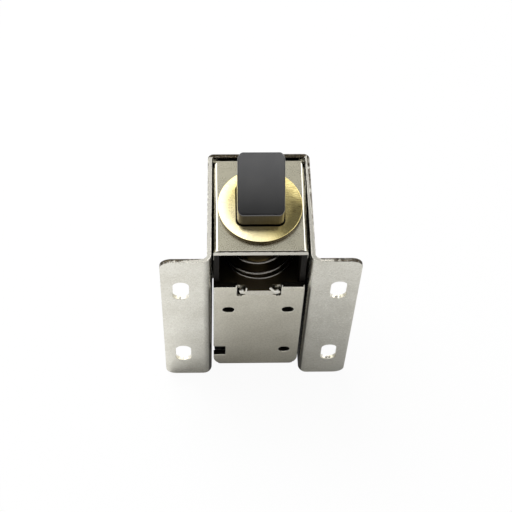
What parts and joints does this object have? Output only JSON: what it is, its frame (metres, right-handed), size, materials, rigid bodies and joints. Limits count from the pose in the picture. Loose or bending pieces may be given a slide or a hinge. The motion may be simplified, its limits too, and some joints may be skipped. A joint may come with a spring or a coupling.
{
  "type": "electric cabinet lock",
  "caption": "Electric cabinet lock: a solenoid in a folded steel bracket with slotted flanges pulls back a square, slant-faced spring bolt.",
  "frame": {"origin": "under the middle of the lock's outline, at the height of the bracket's rear edge", "axes": "+Z points along the bolt out of the lock, -Y is the side of the mounting face, and +X is to the right when that face is looked at with the bolt upwards"},
  "size_m": [0.0418, 0.0276, 0.0669],
  "materials": {
    "bracket_nickel": "satin nickel plate on sheet steel",
    "frame_nickel": "fine satin nickel plate on sheet steel",
    "pole_nickel": "smooth nickel plate with dark staking marks",
    "guide_brass": "straight-brushed brass",
    "tube_brass": "drawn brass",
    "bolt_steel": "ground dark steel",
    "plunger_steel": "turned, nickel-plated soft iron",
    "spring_steel": "drawn spring wire",
    "screw_steel": "zinc-plated steel",
    "bobbin_nylon": "moulded black nylon",
    "coil_copper": "enamelled copper wire in close layers",
    "coil_tape": "wrapped insulating tape",
    "washer_nylon": "natural nylon",
    "terminal_tin": "tinned and soldered"
  },
  "bodies": {
    "housing": {"mounting_bracket": "bracket_nickel", "coil_frame": "frame_nickel", "pole_plate": "pole_nickel", "nose_frame": "frame_nickel", "guide_disc": "guide_brass", "fixed_pole": "plunger_steel", "pole_shim": "tube_brass", "guide_tube": "tube_brass", "coil_bobbin": "bobbin_nylon", "coil_winding": "coil_copper", "coil_tape": "coil_tape", "start_terminal": "terminal_tin", "finish_terminal": "terminal_tin", "front_screw": "screw_steel", "rear_screw": "screw_steel", "return_spring": "spring_steel"},
    "bolt_carriage": {"bolt": "bolt_steel", "plunger": "plunger_steel", "bolt_pin": "screw_steel", "stop_washer": "washer_nylon"}
  },
  "joints": [
    {"name": "bolt_slide", "type": "slide", "parent": "housing", "child": "bolt_carriage", "axis": [0, 0, 1], "range_m": [-0.0095, 0], "stiffness_N_per_m": 150, "springref_m": 0.01, "deforming": ["return_spring"]}
  ]
}
